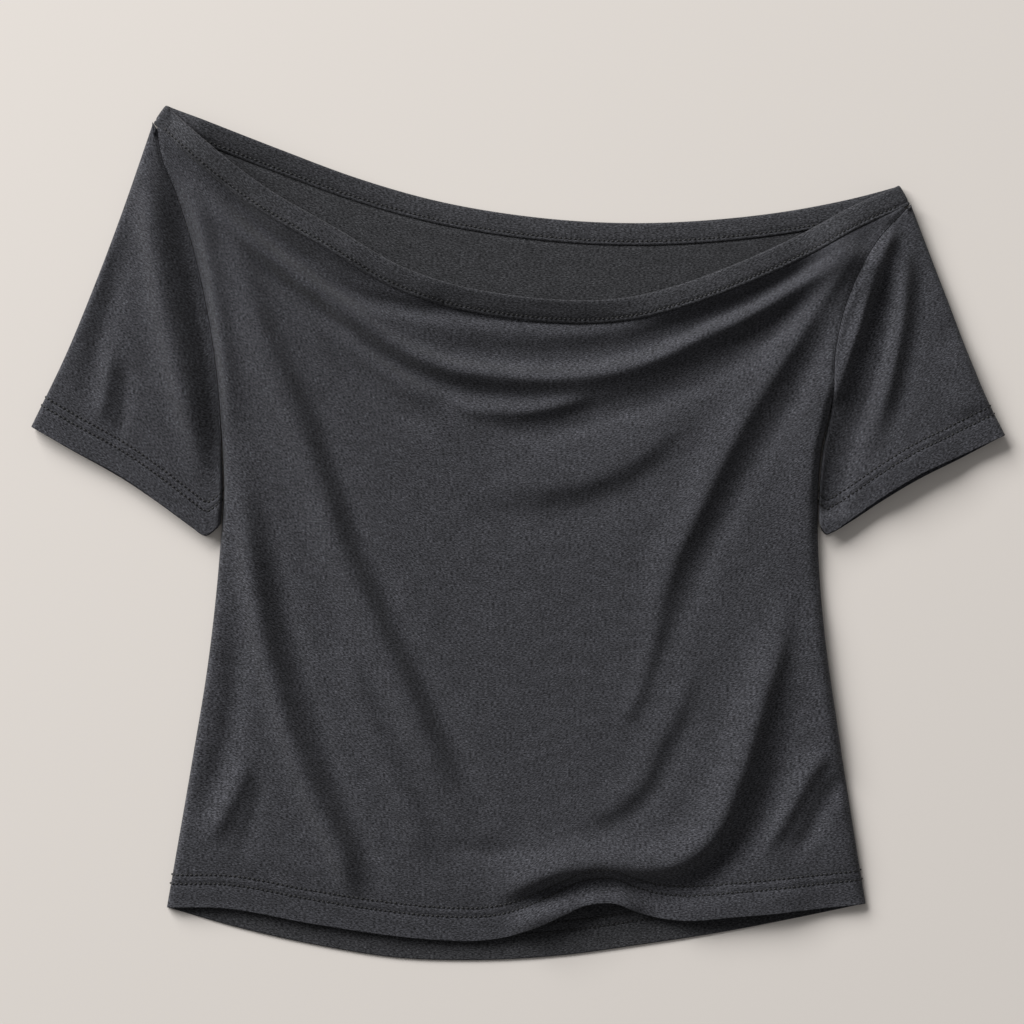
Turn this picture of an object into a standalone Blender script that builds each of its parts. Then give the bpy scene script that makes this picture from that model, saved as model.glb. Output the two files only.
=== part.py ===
"""Off-shoulder top in charcoal jersey, laid flat on its back panel.

The front and back panels lie on each other and meet at the side folds. A short sleeve is
set in at each armhole, a tube pressed flat. One binding runs round the whole neckline and
folds over at both shoulder tips. The hem and the cuffs are turned up.

Lengths are in millimetres until a mesh is made. +X is the wearer's left, +Y runs from hem
to neck and +Z is up, away from the surface that the garment lies on.
"""
import math
from collections import namedtuple

import bmesh
import bpy
import numpy as np

MM = 0.001

# Cloth and seams
CLOTH = 1.5
SEAM_GAP = 0.3
BACK_TOP = CLOTH
FRONT_FLOOR = BACK_TOP + SEAM_GAP
LEVEL_BASE = FRONT_FLOOR + CLOTH

# Hems: a turn of cloth, a little thicker than the panel above it
HEM_DEPTH = 21.5
HEM_EXTRA = 0.5
HEM_STEPS = (0.0, 7.0, 14.0, 20.5, 22.5)

# Neck binding
BAND_WIDTH = 14.5
BAND_THICK = 2.4
BAND_PROUD = 0.4
BAND_MIN_MIDDLE = 4.6
BAND_BLEND = 30.0

# Air between the layers
AIR = 2.0
AIR_MIN = 0.2
AIR_MAX = 8.5
HEM_AIR = 0.7
HEM_CALM = 40.0

# Side folds of the body: how far from the edge the cloth starts to round down
LEFT_ROUND = 5.0
RIGHT_ROUND = 8.0
ARMPIT_TOP = 95.0
ARMPIT_END = 55.0
SLEEVE_END = -5.0
SLEEVE_CLEAR = 0.5

# Outlines, through points in order from the left shoulder tip or from the top
NECK_FRONT = (
    (-229, 278), (-201.5, 253), (-166.5, 225.5), (-116, 196), (-75.5, 172.5), (-42.5, 161),
    (-9, 154.5), (24, 151), (48.5, 150.5), (74, 153), (98.5, 159), (141.5, 174.5),
    (184, 194), (218, 212.5), (248, 225.5),
)
NECK_BACK = (
    (-229, 278), (-200, 266.5), (-155, 249), (-103, 230), (-51, 215.5), (1, 206.5),
    (53, 202), (79, 201.5), (131, 204), (183, 210.5), (222, 218.5), (248, 225.5),
)
SIDE_LEFT = (
    (-232.7, 261.3), (-231, 243), (-223, 223), (-207, 168), (-195, 96), (-192.5, 57), (-191.5, 34),
    (-194.5, -18), (-201.5, -83), (-212, -148), (-222.5, -209), (-228.5, -243.5),
)
SIDE_RIGHT = (
    (249.5, 209.7), (233, 190), (215, 156), (205.5, 119.5), (203, 81), (197.5, 54),
    (195, 18), (195.5, -18), (199.5, -66.5), (207.5, -124), (218, -192), (226, -241),
)
HEM_FRONT = (
    (-228.5, -243.5), (-196, -243.5), (-133, -254), (-91, -260.5), (-51, -264.5),
    (-27, -265), (-10, -263), (10, -256.5), (29, -248), (42, -242), (53, -240),
    (64, -240.5), (76, -245.5), (89, -249.5), (106, -251.5), (144, -249), (226, -241),
)
HEM_BACK = (
    (-228.5, -243.5), (-181, -257), (-129, -268.5), (-77, -276.5), (-38, -278),
    (27, -275), (79, -268), (131, -260), (183, -250), (226, -241),
)

# Sleeves: the outer fold, the height of the armpit and the cuff edge; below the armpit the
# underarm fold lies along the body's side
Sleeve = namedtuple("Sleeve", "outer armpit cuff")
SLEEVES = {
    "sleeve_left": Sleeve(
        outer=((-237.4, 265.5), (-252, 223), (-274, 164), (-295.5, 112), (-308, 86), (-316.3, 69)),
        armpit=57,
        cuff=((-316.3, 69), (-298, 58), (-254, 32.5), (-210, 2), (-199, -1), (-193, 6)),
    ),
    "sleeve_right": Sleeve(
        outer=((255.3, 212.2), (264, 190), (279, 151), (294, 112), (305, 86), (316.3, 63.5)),
        armpit=78,
        cuff=((316.3, 63.5), (287, 48), (261, 35), (235, 19.5), (216, 7), (200.5, -1), (196, 6)),
    ),
}
SIDES = {"sleeve_left": SIDE_LEFT, "sleeve_right": SIDE_RIGHT}

# Folds of the front layer. A path is walked from its first point; left and right are the
# widths on each side of it, and fade_in and fade_out are the shares of it that die away.
Fold = namedtuple("Fold", "path height left right fade_in fade_out")
FOLDS = (
    # Neck edge, lifted off the back panel
    Fold(((-180, 225), (-110, 186), (-45, 156), (25, 146), (80, 149)), 2.4, 16, 12, 0.25, 0.3),
    # Swags that hang between the shoulders
    Fold(((-207, 236), (-122, 168), (-31, 125), (53, 121), (131, 151), (216, 192)), -1.9, 8, 8, 0.1, 0.1),
    Fold(((-217, 242), (-142, 179), (-64, 122), (14, 106), (92, 125), (216, 184)), 2.2, 9, 9, 0.15, 0.15),
    Fold(((-181, 190), (-109, 129), (-44, 101), (34, 94)), -1.6, 9, 9, 0.3, 0.3),
    Fold(((-38, 78), (27, 75), (105, 106), (183, 151), (235, 190)), -1.9, 9, 9, 0.3, 0.1),
    Fold(((-77, 66), (-38, 53), (14, 45), (60, 53), (105, 73), (180, 132)), 1.8, 22, 20, 0.3, 0.3),
    # Long folds from the left shoulder to the hem
    Fold(((-220, 236), (-171, 125), (-134, 8), (-98, -92), (-64, -187), (-51, -219)), 2.8, 15, 14, 0.1, 0.15),
    Fold(((-184, 190), (-145, 86), (-108, -5), (-67, -102), (-25, -174), (1, -200)), -1.5, 14, 13, 0.3, 0.2),
    Fold(((-178, -18), (-173, -70), (-152, -161), (-119, -232)), 1.4, 10, 9, 0.3, 0.2),
    Fold(((-169, -151), (-186, -177), (-215, -218)), 1.6, 9, 9, 0.3, 0.2),
    # Long folds from the right shoulder
    Fold(((238, 198), (183, 140), (143, 80), (112, 18), (82, -57), (61, -128)), 4.2, 10, 12, 0.1, 0.3),
    Fold(((230, 185), (191, 125), (155, 70), (127, 8), (103, -53), (66, -148)), -1.6, 10, 10, 0.2, 0.3),
    Fold(((235, 184), (216, 145), (201, 112), (190, 73), (184, 20), (182, -20)), 2.6, 13, 15, 0.1, 0.3),
    # The fold that hooks round above the hem, and the hem wave at its foot
    Fold(((180, -18), (158, -96), (132, -164), (82, -205), (8, -218), (-25, -229)), 3.8, 10, 12, 0.3, 0.2),
    Fold(((186, -57), (170, -122), (145, -190), (99, -226), (34, -230)), -1.9, 9, 9, 0.3, 0.2),
    Fold(((-4, -256), (21, -246), (40, -237), (53, -234), (69, -238), (90, -247)), 6.0, 15, 12, 0.3, 0.3),
    Fold(((208, -149), (183, -181), (160, -213)), -1.5, 9, 9, 0.3, 0.3),
    # Left sleeve, down from the shoulder seam
    Fold(((-241, 215), (-239, 151), (-236, 90), (-228, 34)), 3.2, 9, 9, 0.2, 0.2),
    Fold(((-230, 223), (-215, 132), (-199, 54)), -1.8, 9, 9, 0.2, 0.2),
    # Right sleeve: a lip along the seam, a deep valley beside it, then a soft fold
    Fold(((246, 198), (223, 148), (207, 96), (203, 80)), 2.2, 6, 6, 0.2, 0.2),
    Fold(((238, 174), (223, 119), (208, 54), (201, 21)), -2.4, 8, 7, 0.2, 0.2),
    Fold(((248, 200), (243, 140), (234, 86), (223, 54)), 2.6, 9, 8, 0.2, 0.3),
    Fold(((270, 160), (280, 110), (285, 70)), 1.2, 16, 14, 0.4, 0.2),
)

# Mesh fineness
FRONT_COLUMNS = 36
FRONT_ROWS = 36
BACK_COLUMNS = 18
BACK_UPPER_ROWS = 20
BACK_LOWER_ROWS = 7
SLEEVE_COLUMNS = 11
SLEEVE_RINGS = 12
ROUND_STEPS = 4
BAND_FRONT_STATIONS = 64
BAND_BACK_STATIONS = 44
BAND_TURN_STATIONS = 5
FOLD_SAMPLES = 48

JERSEY_COLOUR = (0.043, 0.044, 0.048, 1.0)
BINDING_COLOUR = (0.036, 0.037, 0.041, 1.0)
JERSEY_ROUGHNESS = 0.92


def smooth(points, fine=24):
    """A smooth curve through the points, sampled closely."""
    knots_at = np.asarray(points, float)
    knots = lengths(knots_at)
    slopes = np.gradient(knots_at, knots, axis=0)
    where = np.linspace(0.0, knots[-1], fine * len(knots_at))
    k = np.clip(np.searchsorted(knots, where, side="right") - 1, 0, len(knots) - 2)
    span = (knots[k + 1] - knots[k])[:, None]
    t = (where - knots[k])[:, None] / span
    start = (2 * t**3 - 3 * t**2 + 1) * knots_at[k] + (t**3 - 2 * t**2 + t) * span * slopes[k]
    end = (3 * t**2 - 2 * t**3) * knots_at[k + 1] + (t**3 - t**2) * span * slopes[k + 1]
    return start + end


def lengths(curve):
    """Distance along a curve at each of its points."""
    steps = np.linalg.norm(np.diff(curve, axis=0), axis=1)
    return np.concatenate([[0.0], np.cumsum(steps)])


def along(curve, share):
    """Points at the given shares of a curve's length."""
    run = lengths(curve)
    at = np.asarray(share) * run[-1]
    return np.stack([np.interp(at, run, curve[:, axis]) for axis in range(curve.shape[1])], axis=-1)


def beside(curve, distance):
    """A curve moved sideways, to the left of its direction when the distance is positive."""
    tangent = np.gradient(curve, lengths(curve), axis=0)
    tangent /= np.linalg.norm(tangent, axis=-1, keepdims=True)
    return curve + distance * np.stack([-tangent[:, 1], tangent[:, 0]], axis=-1)


def soft_step(value, start, end):
    """0 before start, 1 after end, eased between them."""
    t = np.clip((value - start) / (end - start), 0.0, 1.0)
    return t * t * (3 - 2 * t)


def stations(length, near_start, near_end, count):
    """Shares along rows of the given lengths: set distances at both ends, even between."""
    length = np.atleast_1d(length)[:, None]
    first = np.asarray(near_start)[None, :] / length
    last = 1 - np.asarray(near_end)[None, ::-1] / length
    inner = np.linspace(0, 1, count + 2)[1:-1]
    middle = first[:, -1:] + (last[:, :1] - first[:, -1:]) * inner
    return np.hstack([first, middle, last])


def round_steps(radius):
    """Distances from a folded edge that step evenly round its curve."""
    return [radius * (1 - math.cos(math.pi / 2 * k / ROUND_STEPS)) for k in range(ROUND_STEPS + 1)]


def patch(top, bottom, left, right, u, v):
    """Plan positions between four border curves; u runs along the rows and v down them."""
    u3, v3 = u[..., None], v[..., None]
    rows = (1 - v3) * along(top, u) + v3 * along(bottom, u)
    columns = (1 - u3) * along(left, v) + u3 * along(right, v)
    corners = (1 - v3) * ((1 - u3) * top[0] + u3 * top[-1]) + v3 * ((1 - u3) * bottom[0] + u3 * bottom[-1])
    return rows + columns - corners


def fold_height(plan, fold):
    """Height of one fold at each plan position."""
    path = along(smooth(fold.path), np.linspace(0, 1, FOLD_SAMPLES))
    start, step = path[:-1], np.diff(path, axis=0)
    reach = plan[..., None, :] - start
    t = np.clip((reach * step).sum(-1) / (step**2).sum(-1), 0, 1)
    gap = reach - t[..., None] * step
    distance = np.linalg.norm(gap, axis=-1)
    nearest = distance.argmin(axis=-1)[..., None]
    side = np.take_along_axis(step[:, 0] * gap[..., 1] - step[:, 1] * gap[..., 0], nearest, -1)[..., 0]
    place = (nearest[..., 0] + np.take_along_axis(t, nearest, -1)[..., 0]) / len(step)
    width = np.where(side > 0, fold.left, fold.right)
    bump = np.exp(-(np.take_along_axis(distance, nearest, -1)[..., 0] / width) ** 2)
    return fold.height * bump * soft_step(place, 0, fold.fade_in) * soft_step(1 - place, 0, fold.fade_out)


def front_level(plan):
    """Top of the front layer above the floor, before its edges round down."""
    hem = smooth(HEM_FRONT)
    above_hem = plan[..., 1] - np.interp(plan[..., 0], hem[:, 0], hem[:, 1])
    air = HEM_AIR + (AIR - HEM_AIR) * soft_step(above_hem, 0, HEM_CALM)
    for fold in FOLDS:
        air = air + fold_height(plan, fold)
    return LEVEL_BASE + np.clip(air, AIR_MIN, AIR_MAX)


def arc_share(distance, radius):
    """Share of full height at a distance in from a folded edge."""
    return np.sqrt(1 - (1 - np.clip(distance / radius, 0, 1)) ** 2)


def row_normals(grid):
    """Unit normals of a grid of points, upward for rows down and columns to the right."""
    across = np.gradient(grid, axis=1)
    down = np.gradient(grid, axis=0)
    normal = np.cross(down, across)
    return normal / np.linalg.norm(normal, axis=-1, keepdims=True)


def grid_faces(rows, columns, first=0):
    """Pairs of triangles over a grid of rows and columns of vertices."""
    faces = []
    for i in range(rows - 1):
        for j in range(columns - 1):
            a = first + i * columns + j
            b, c, d = a + columns, a + columns + 1, a + 1
            faces += [(a, b, c), (a, c, d)]
    return faces


def wall_mesh(outside, inside):
    """Vertices and faces of a closed wall from the grids of its two sides.

    Both sides are split along the same diagonals, so the wall keeps its thickness.
    """
    rows, columns = outside.shape[:2]
    count = rows * columns
    vertices = np.vstack([outside.reshape(-1, 3), inside.reshape(-1, 3)])
    faces = grid_faces(rows, columns)
    faces += [face[::-1] for face in grid_faces(rows, columns, count)]
    rim = [j for j in range(columns)]
    rim += [i * columns + columns - 1 for i in range(1, rows)]
    rim += [(rows - 1) * columns + j for j in range(columns - 2, -1, -1)]
    rim += [i * columns for i in range(rows - 2, 0, -1)]
    for a, b in zip(rim, rim[1:] + rim[:1]):
        faces.append((a, b, b + count, a + count))
    return vertices, faces


def ring_mesh(loops):
    """Vertices and faces of a solid ring from its closed run of cross-sections."""
    stops, around = loops.shape[:2]
    faces = []
    for i in range(stops):
        for k in range(around):
            a, b = i * around + k, i * around + (k + 1) % around
            c, d = (i + 1) % stops * around + k, (i + 1) % stops * around + (k + 1) % around
            faces.append((a, b, d, c))
    return loops.reshape(-1, 3), faces


def material(name, colour):
    """Matt knitted cloth."""
    cloth = bpy.data.materials.new(name)
    cloth.use_nodes = True
    shader = cloth.node_tree.nodes["Principled BSDF"]
    shader.inputs["Base Color"].default_value = colour
    shader.inputs["Roughness"].default_value = JERSEY_ROUGHNESS
    shader.inputs["Metallic"].default_value = 0.0
    return cloth


def add_piece(name, mesh_data, colour):
    """One named object with its own material."""
    vertices, faces = mesh_data
    mesh = bpy.data.meshes.new(name)
    mesh.from_pydata((vertices * MM).tolist(), [], faces)
    mesh.update()
    mesh.materials.append(material(name + "_cloth", colour))
    piece = bpy.data.objects.new(name, mesh)
    bpy.context.scene.collection.objects.link(piece)
    return piece


def rail(edge, front):
    """The two edges of one half of the binding, and its seam with the panel below.

    The width turns from square across the edge to the line of the fold at each tip.
    """
    count = BAND_FRONT_STATIONS if front else BAND_BACK_STATIONS
    run = lengths(edge)[-1]
    turn = band_turn_radius() + BAND_THICK / 2
    share = np.linspace(turn / run, 1 - turn / run, count)
    upper = along(edge, share)
    return upper, upper - BAND_WIDTH * band_width_way(edge, share)


def band_width_way(edge, share):
    """Unit vectors across the binding, from its seam to its free edge."""
    run = lengths(edge)[-1]
    step = 0.5 / run
    tangent = along(edge, np.clip(share + step, 0, 1)) - along(edge, np.clip(share - step, 0, 1))
    square = np.stack([-tangent[:, 1], tangent[:, 0]], axis=-1)
    square /= np.linalg.norm(square, axis=-1, keepdims=True)
    near_left = (1 - soft_step(share * run, 0, BAND_BLEND))[:, None]
    near_right = (1 - soft_step((1 - share) * run, 0, BAND_BLEND))[:, None]
    way = square * (1 - near_left - near_right) + tip_way("left") * near_left + tip_way("right") * near_right
    return way / np.linalg.norm(way, axis=-1, keepdims=True)


def tip_way(side):
    """Direction of the fold across the binding at a shoulder tip."""
    upper = np.array(NECK_FRONT[0] if side == "left" else NECK_FRONT[-1], float)
    lower = np.array(SLEEVES["sleeve_" + side].outer[0], float)
    return (upper - lower) / np.linalg.norm(upper - lower)


def band_turn_radius():
    """Radius of the binding's middle where it folds over at a tip."""
    return (BAND_MIN_MIDDLE - BAND_THICK / 2) / 2


def neck_seam(points):
    """The seam line of a panel, just below the binding."""
    edge = smooth(points)
    share = np.linspace(0, 1, 160)
    return along(edge, share) - (BAND_WIDTH + SEAM_GAP) * band_width_way(edge, share)


def panel_top(points, left, right):
    """A panel's upper border, from one armhole seam's start to the other's."""
    seam = neck_seam(points)
    seam = seam[(seam[:, 0] > left[0][0] + SEAM_GAP) & (seam[:, 0] < right[0][0] - SEAM_GAP)]
    return np.vstack([left[:1], seam, right[:1]])


def front_panel():
    """The front: swags and long folds, rounded at the side folds, with a turned hem."""
    left, right = smooth(SIDE_LEFT), smooth(SIDE_RIGHT)
    top, bottom = panel_top(NECK_FRONT, left, right), smooth(HEM_FRONT)
    rows = FRONT_ROWS + 2 + len(HEM_STEPS)
    v_mean = np.linspace(0, 1, rows)
    row_length = np.linalg.norm(along(right, v_mean) - along(left, v_mean), axis=-1)
    u = stations(row_length, round_steps(LEFT_ROUND), round_steps(RIGHT_ROUND), FRONT_COLUMNS)
    u_mean = u.mean(axis=0)
    column_length = np.linalg.norm(along(bottom, u_mean) - along(top, u_mean), axis=-1)
    v = stations(column_length, (0.0, 3.0), HEM_STEPS, FRONT_ROWS).T
    plan = patch(top, bottom, left, right, u, v)

    above_hem = (1 - v) * column_length
    level = front_level(plan) + HEM_EXTRA * (1 - soft_step(above_hem, HEM_DEPTH - 1, HEM_DEPTH + 1))
    edge_y = (plan[:, :1, 1], plan[:, -1:, 1])
    from_left = np.linalg.norm(plan - plan[:, :1], axis=-1)
    from_right = np.linalg.norm(plan - plan[:, -1:], axis=-1)
    round_left = soft_step(-edge_y[0], -ARMPIT_TOP, -ARMPIT_END) * (1 - arc_share(from_left, LEFT_ROUND))
    round_right = soft_step(-edge_y[1], -ARMPIT_TOP, -ARMPIT_END) * (1 - arc_share(from_right, RIGHT_ROUND))
    height = FRONT_FLOOR + (level - FRONT_FLOOR) * (1 - round_left) * (1 - round_right)

    outside = np.dstack([plan, height])
    normal = row_normals(outside)
    normal[0, :, :2] = 0
    normal[-1, :, 1] = 0
    seam_left = soft_step(edge_y[0], ARMPIT_END, ARMPIT_TOP)
    seam_right = soft_step(edge_y[1], ARMPIT_END, ARMPIT_TOP)
    normal[:, :1, :2] *= (1 - seam_left)[..., None]
    normal[:, -1:, :2] *= (1 - seam_right)[..., None]
    normal /= np.linalg.norm(normal, axis=-1, keepdims=True)
    inside = outside - CLOTH * normal
    inside[..., 2] = np.maximum(inside[..., 2], FRONT_FLOOR)
    return add_piece("front_panel", wall_mesh(outside, inside), JERSEY_COLOUR)


def back_panel():
    """The back: flat on the surface, its neckline higher and its hem lower than the front's."""
    left, right = smooth(SIDE_LEFT), smooth(SIDE_RIGHT)
    top, bottom = panel_top(NECK_BACK, left, right), smooth(HEM_BACK)
    beside_sleeve = (left[0][1] - SLEEVE_END) / (left[0][1] - left[-1][1])
    upper_rows = np.linspace(0, beside_sleeve, BACK_UPPER_ROWS)
    lower_rows = np.linspace(beside_sleeve, 1, BACK_LOWER_ROWS)[1:]
    u, v = np.meshgrid(np.linspace(0, 1, BACK_COLUMNS), np.concatenate([upper_rows, lower_rows]))
    plan = patch(top, bottom, left, right, u, v)
    upper = np.dstack([plan, np.full(u.shape, BACK_TOP)])
    lower = np.dstack([plan, np.zeros(u.shape)])
    return add_piece("back_panel", wall_mesh(upper, lower), JERSEY_COLOUR)


def sleeve(name):
    """A short sleeve pressed flat: its wall runs from the front of the armhole seam round
    the outer fold to the back of that seam, and closes at the underarm fold."""
    cut = SLEEVES[name]
    outward = -1 if name == "sleeve_left" else 1
    side = beside(smooth(SIDES[name]), outward * SLEEVE_CLEAR)
    outer, cuff = smooth(cut.outer), smooth(cut.cuff)
    inner = np.vstack([side[side[:, 1] > cuff[-1][1] + CLOTH], cuff[-1:]])
    tip = np.linspace(outer[0], inner[0], 4)

    rings = SLEEVE_RINGS + 1 + len(HEM_STEPS)
    s_mean = np.linspace(0, 1, rings)
    radius = (LEVEL_BASE + AIR) / 2
    ring_length = np.linalg.norm(along(inner, s_mean) - along(outer, s_mean), axis=-1)
    t = stations(ring_length, round_steps(radius), round_steps(radius), SLEEVE_COLUMNS)
    t_mean = t.mean(axis=0)
    fall = np.linalg.norm(along(cuff, t_mean) - along(tip, t_mean), axis=-1)
    s = stations(fall, (0.0,), HEM_STEPS, SLEEVE_RINGS).T
    plan = patch(tip, cuff, outer, inner, t, s)

    hem = HEM_EXTRA * (1 - soft_step((1 - s) * fall, HEM_DEPTH - 1, HEM_DEPTH + 1))
    level = front_level(plan) + hem
    from_outer = np.linalg.norm(plan - plan[:, :1], axis=-1)
    from_under = np.linalg.norm(plan - plan[:, -1:], axis=-1)
    closed = plan[:, -1, 1] < cut.armpit
    full = arc_share(from_outer, level / 2)
    full[closed] *= arc_share(from_under, level / 2)[closed]
    front = np.dstack([plan, level / 2 * (1 + full)])
    back = np.dstack([plan, level / 2 * (1 - full)])

    across = np.gradient(plan, axis=1)
    across /= np.linalg.norm(across, axis=-1, keepdims=True)
    across = np.concatenate([across[:, ::-1], across[:, 1:]], axis=1)
    outside = np.concatenate([front[:, ::-1], back[:, 1:]], axis=1)
    chord = np.array([np.gradient(ring, lengths(ring), axis=0) for ring in outside])
    run, rise = (chord[..., :2] * across).sum(-1), chord[..., 2]
    run[:, 0], rise[:, 0] = -1, 0
    run[:, -1], rise[:, -1] = 1, 0
    run[closed, 0], rise[closed, 0] = 0, 1
    run[closed, -1], rise[closed, -1] = 0, 1
    size = np.hypot(run, rise)
    inside = outside.copy()
    inside[..., :2] -= CLOTH * (rise / size)[..., None] * across
    inside[..., 2] += CLOTH * run / size
    if outward < 0:
        outside, inside = outside[:, ::-1], inside[:, ::-1]
    piece = add_piece(name, wall_mesh(outside, inside), JERSEY_COLOUR)
    close_fold(piece, np.flatnonzero(closed), outside.shape)
    return piece


def close_fold(piece, rings, shape):
    """Joins the two long borders of a wall along the given rings."""
    count = shape[0] * shape[1]
    shell = bmesh.new()
    shell.from_mesh(piece.data)
    shell.verts.ensure_lookup_table()
    seam = {}
    for ring in rings:
        for side in (0, count):
            first = side + ring * shape[1]
            seam[shell.verts[first]] = shell.verts[first + shape[1] - 1]
    folded = [face for face in shell.faces if is_rim(face, seam)]
    bmesh.ops.delete(shell, geom=folded, context="FACES")
    bmesh.ops.weld_verts(shell, targetmap=seam)
    shell.to_mesh(piece.data)
    shell.free()


def is_rim(face, seam):
    """True for a rim face whose corners all lie on one of the borders to be joined."""
    ends = set(seam.values())
    return all(v in seam for v in face.verts) or all(v in ends for v in face.verts)


def neck_band():
    """The binding: a folded strip round the neckline, turned over at both shoulder tips."""
    radius = band_turn_radius()
    middle = BAND_THICK / 2 + radius
    upper, lower = rail(smooth(NECK_FRONT), True)
    front = band_run(upper, lower, True)
    upper_back, lower_back = rail(smooth(NECK_BACK), False)
    back = band_run(upper_back[::-1], lower_back[::-1], False)
    right = band_turn(front[-1], back[0], radius, middle)
    left = band_turn(back[-1], front[0], radius, middle)
    loops = np.concatenate([front, right, back, left])
    return add_piece("neck_band", ring_mesh(loops), BINDING_COLOUR)


SECTION = ((0.0, 0.5), (0.07, 1.0), (0.93, 1.0), (1.0, 0.5), (1.0, -0.5), (0.93, -1.0), (0.07, -1.0), (0.0, -0.5))


def section(upper, lower, thickness_way):
    """The binding's cross-section between its two edges."""
    half = BAND_THICK / 2
    return [upper + (lower - upper) * across + thickness_way * half * depth for across, depth in SECTION]


def band_run(upper, lower, front):
    """Cross-sections of the front or back stretch of the binding."""
    loops = []
    tips = np.linspace(0, 1, len(upper))
    ease = soft_step(tips, 0, 0.12) * soft_step(1 - tips, 0, 0.12)
    for rail_upper, rail_lower, share in zip(upper, lower, ease):
        if front:
            ends = np.array([rail_upper, rail_lower])
            heights = front_level(ends) + BAND_PROUD - BAND_THICK / 2
            heights = BAND_MIN_MIDDLE + np.maximum(heights - BAND_MIN_MIDDLE, 0) * share
            way = np.array([0.0, 0.0, 1.0])
        else:
            heights = (BAND_THICK / 2, BAND_THICK / 2)
            way = np.array([0.0, 0.0, -1.0])
        loops.append(section(np.append(rail_upper, heights[0]), np.append(rail_lower, heights[1]), way))
    return np.array(loops)


def band_turn(before, after, radius, middle):
    """Cross-sections of the half turn that joins two stretches at a shoulder tip."""
    ends = [(loop[0] + loop[7]) / 2 for loop in (before, after)]
    feet = [(loop[3] + loop[4]) / 2 for loop in (before, after)]
    across = ends[0][:2] - feet[0][:2]
    outward = np.array([across[1], -across[0]]) / np.linalg.norm(across)
    if (ends[0][0] > 0) != (outward[0] > 0):
        outward = -outward
    going_down = ends[0][2] > ends[1][2]
    loops = []
    for k in range(1, BAND_TURN_STATIONS + 1):
        share = k / (BAND_TURN_STATIONS + 1)
        angle = math.pi * (share if going_down else 1 - share)
        way = np.array([*(outward * math.sin(angle)), math.cos(angle)])
        rails = []
        for first, last in (ends, feet):
            flat = first[:2] * (1 - share) + last[:2] * share
            rails.append(np.array([*(flat + outward * radius * math.sin(angle)), middle + radius * math.cos(angle)]))
        loops.append(section(rails[0], rails[1], way))
    return np.array(loops)


def centre(pieces):
    """Moves all pieces together so that the middle of their box is over the origin."""
    points = np.array([vertex.co for piece in pieces for vertex in piece.data.vertices])
    low, high = points.min(axis=0), points.max(axis=0)
    shift = ((low[0] + high[0]) / 2, (low[1] + high[1]) / 2, low[2])
    for piece in pieces:
        for vertex in piece.data.vertices:
            vertex.co.x -= shift[0]
            vertex.co.y -= shift[1]
            vertex.co.z -= shift[2]
        piece.data.update()


for old in list(bpy.data.objects):
    bpy.data.objects.remove(old, do_unlink=True)
garment = [front_panel(), back_panel()]
garment += [sleeve(name) for name in SLEEVES]
garment.append(neck_band())
centre(garment)
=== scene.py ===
import math
from collections import namedtuple

import bmesh
import bpy
import numpy as np
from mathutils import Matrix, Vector


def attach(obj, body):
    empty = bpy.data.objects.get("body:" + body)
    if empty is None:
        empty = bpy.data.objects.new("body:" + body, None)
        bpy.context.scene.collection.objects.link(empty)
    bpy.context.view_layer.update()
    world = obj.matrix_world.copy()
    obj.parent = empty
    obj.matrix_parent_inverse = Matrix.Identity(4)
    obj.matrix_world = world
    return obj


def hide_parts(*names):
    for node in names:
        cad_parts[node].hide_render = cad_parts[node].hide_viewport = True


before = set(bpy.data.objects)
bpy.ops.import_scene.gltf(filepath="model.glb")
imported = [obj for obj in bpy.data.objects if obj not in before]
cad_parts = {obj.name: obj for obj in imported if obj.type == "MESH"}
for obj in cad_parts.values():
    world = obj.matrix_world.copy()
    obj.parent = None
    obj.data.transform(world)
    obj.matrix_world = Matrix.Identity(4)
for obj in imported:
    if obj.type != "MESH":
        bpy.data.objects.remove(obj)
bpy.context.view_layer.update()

# Front panel. Light jersey, about 1 mm thick, that lies loosely on the back panel: swags
# hang between the shoulders and long folds run down from both tips. Its hem is turned up
# once and held by two rows of stitches. All lengths here are in millimetres.
MM = 0.001
CLOTH = 1.2
BACK_TOP = 1.3
FRONT_FLOOR = BACK_TOP + 0.3
LEVEL_BASE = FRONT_FLOOR + CLOTH
AIR = 5.0
AIR_MIN = 0.15
AIR_MAX = 15.0
AIR_SOFT = 1.2
HEM_AIR = 2.0
HEM_CALM = 40.0
HEM_DEPTH = 22.0
HEM_EXTRA = 0.5
HEM_STEP = 1.2
STITCH_ROWS = (15.6, 21.4)
STITCH_GROOVE = (0.6, 1.2)
ARMHOLE_GROOVE = (0.9, 1.6)
NECK_GROOVE = (1.0, 2.0)
WAVES_LONG = (0.8, 60.0)
WAVES_SHORT = (0.25, 22.0)
LEFT_ROUND = 5.0
RIGHT_ROUND = 8.0
ARMPIT_TOP = 95.0
ARMPIT_END = 55.0
BAND_WIDTH = 14.5

NECK_FRONT = (
    (-229, 278), (-201.5, 253), (-166.5, 225.5), (-116, 196), (-75.5, 172.5), (-42.5, 161),
    (-9, 154.5), (24, 151), (48.5, 150.5), (74, 153), (98.5, 159), (141.5, 174.5),
    (184, 194), (218, 212.5), (248, 225.5),
)
NECK_BACK = (
    (-229, 278), (-200, 266.5), (-155, 249), (-103, 230), (-51, 215.5), (1, 206.5),
    (53, 202), (79, 201.5), (131, 204), (183, 210.5), (222, 218.5), (248, 225.5),
)
SIDE_LEFT = (
    (-234.5, 262.5), (-231, 243), (-223, 223), (-207, 168), (-195, 96), (-192.5, 57), (-191.5, 34),
    (-194.5, -18), (-201.5, -83), (-212, -148), (-222.5, -209), (-228.5, -243.5),
)
SIDE_RIGHT = (
    (251.5, 210), (233, 190), (215, 156), (205.5, 119.5), (203, 81), (197.5, 54),
    (195, 18), (195.5, -18), (199.5, -66.5), (207.5, -124), (218, -192), (226, -241),
)
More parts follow.
